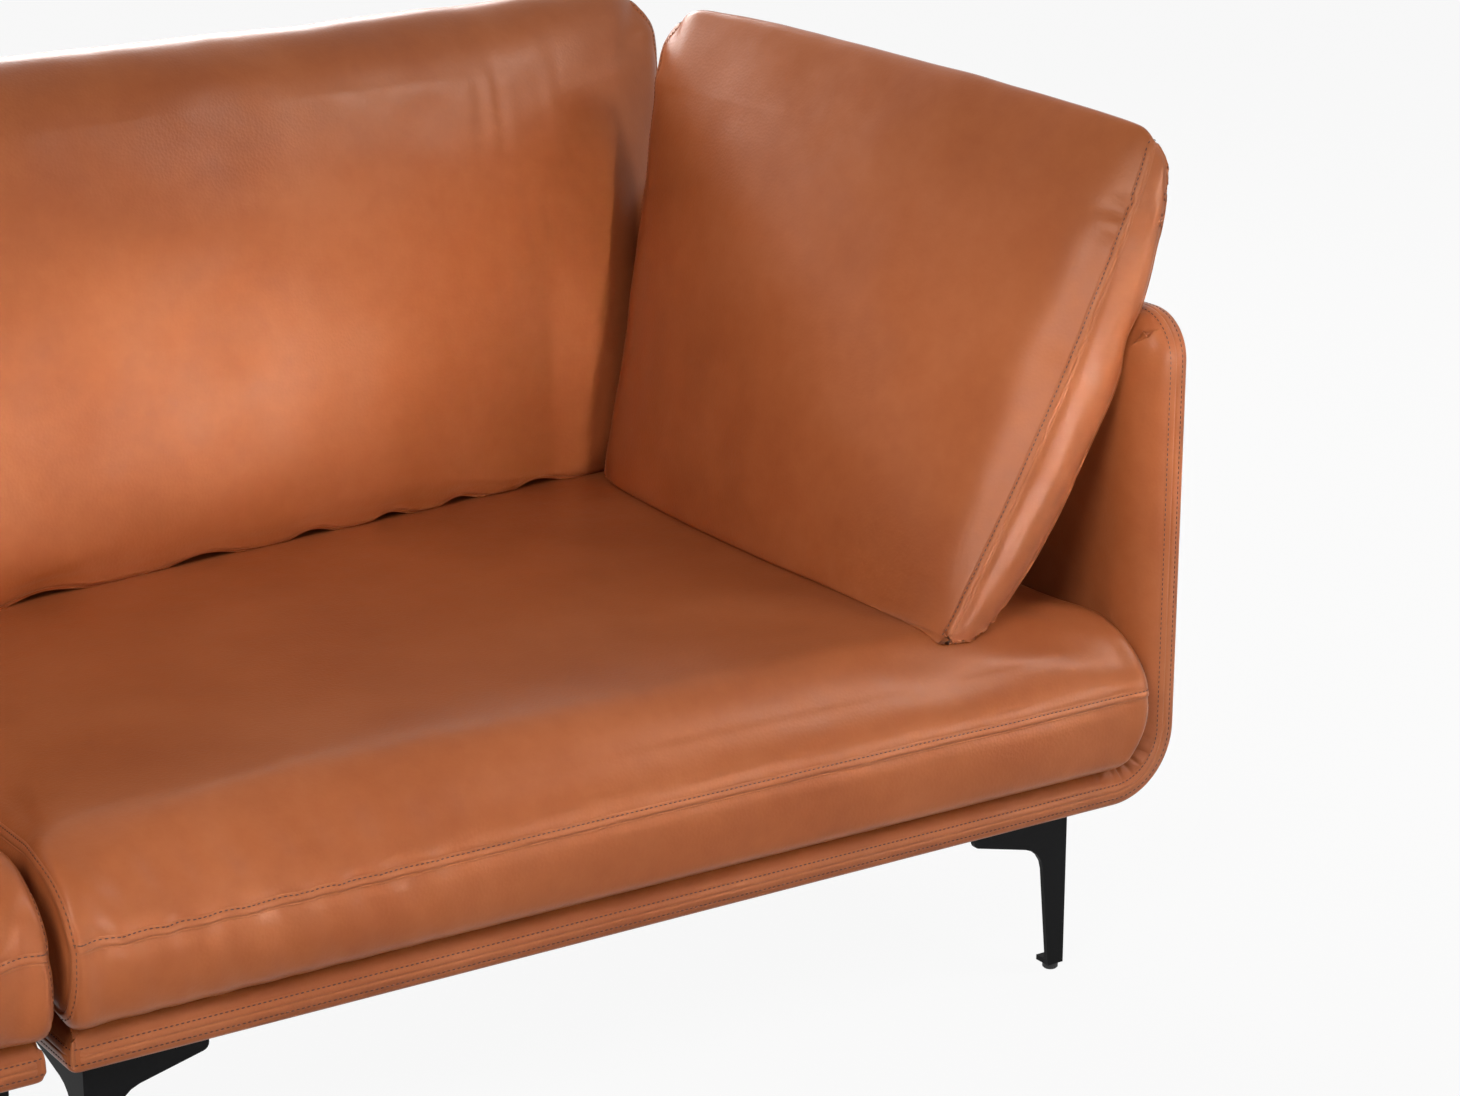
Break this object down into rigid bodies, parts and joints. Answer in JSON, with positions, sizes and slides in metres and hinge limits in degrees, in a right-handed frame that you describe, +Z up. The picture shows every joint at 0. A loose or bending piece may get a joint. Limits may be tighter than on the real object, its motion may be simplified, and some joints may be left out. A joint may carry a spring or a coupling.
{
  "type": "modular sofa",
  "caption": "Modular leather sofa: a thin padded base bends up into each arm, with a leaning back, loose seat, back and arm cushions, and L-section black metal legs.",
  "frame": {"origin": "on the floor, under the middle of the sofa's box", "axes": "+X along the sofa to the right of someone who looks at its front, +Y from front to back, +Z up"},
  "size_m": [2.2774, 0.9346, 0.8507],
  "materials": {
    "leather": "satin",
    "timber": "matte",
    "webbing": "matte",
    "lining": "matte",
    "black_metal": "satin",
    "black_plastic": "matte"
  },
  "bodies": {
    "frame": {"tray_right": "leather", "back_panel_right": "leather", "front_rail_right": "timber", "rear_rail_right": "timber", "inner_rail_right": "timber", "centre_rail_right": "timber", "outer_rail_right": "timber", "corner_block_right": "timber", "arm_board_right": "timber", "back_frame_right": "timber", "strap_1_right": "webbing", "strap_2_right": "webbing", "strap_3_right": "webbing", "strap_4_right": "webbing", "strap_5_right": "webbing", "strap_6_right": "webbing", "dust_cover_right": "lining", "leg_front_inner_right": "black_metal", "glide_front_inner_right": "black_plastic", "leg_front_outer_right": "black_metal", "glide_front_outer_right": "black_plastic", "leg_rear_inner_right": "black_metal", "glide_rear_inner_right": "black_plastic", "leg_rear_outer_right": "black_metal", "glide_rear_outer_right": "black_plastic", "tray_left": "leather", "back_panel_left": "leather", "front_rail_left": "timber", "rear_rail_left": "timber", "inner_rail_left": "timber", "centre_rail_left": "timber", "outer_rail_left": "timber", "corner_block_left": "timber", "arm_board_left": "timber", "back_frame_left": "timber", "strap_1_left": "webbing", "strap_2_left": "webbing", "strap_3_left": "webbing", "strap_4_left": "webbing", "strap_5_left": "webbing", "strap_6_left": "webbing", "dust_cover_left": "lining", "leg_front_inner_left": "black_metal", "glide_front_inner_left": "black_plastic", "leg_front_outer_left": "black_metal", "glide_front_outer_left": "black_plastic", "leg_rear_inner_left": "black_metal", "glide_rear_inner_left": "black_plastic", "leg_rear_outer_left": "black_metal", "glide_rear_outer_left": "black_plastic", "link_plate_front": "black_metal", "link_plate_rear": "black_metal"},
    "seat_cushion_right_body": {"seat_cushion_right": "leather"},
    "back_cushion_right_body": {"back_cushion_right": "leather"},
    "arm_cushion_right_body": {"arm_cushion_right": "leather"},
    "seat_cushion_left_body": {"seat_cushion_left": "leather"},
    "back_cushion_left_body": {"back_cushion_left": "leather"},
    "arm_cushion_left_body": {"arm_cushion_left": "leather"}
  },
  "joints": [
    {"name": "seat_lift_right", "type": "slide", "parent": "frame", "child": "seat_cushion_right_body", "axis": [0, 0, 1], "range_m": [0, 0.45]},
    {"name": "back_lift_right", "type": "slide", "parent": "seat_cushion_right_body", "child": "back_cushion_right_body", "axis": [0, 0, 1], "range_m": [0, 0.4]},
    {"name": "arm_lift_right", "type": "slide", "parent": "seat_cushion_right_body", "child": "arm_cushion_right_body", "axis": [0, 0, 1], "range_m": [0, 0.4]},
    {"name": "seat_lift_left", "type": "slide", "parent": "frame", "child": "seat_cushion_left_body", "axis": [0, 0, 1], "range_m": [0, 0.45]},
    {"name": "back_lift_left", "type": "slide", "parent": "seat_cushion_left_body", "child": "back_cushion_left_body", "axis": [0, 0, 1], "range_m": [0, 0.4]},
    {"name": "arm_lift_left", "type": "slide", "parent": "seat_cushion_left_body", "child": "arm_cushion_left_body", "axis": [0, 0, 1], "range_m": [0, 0.4]}
  ]
}
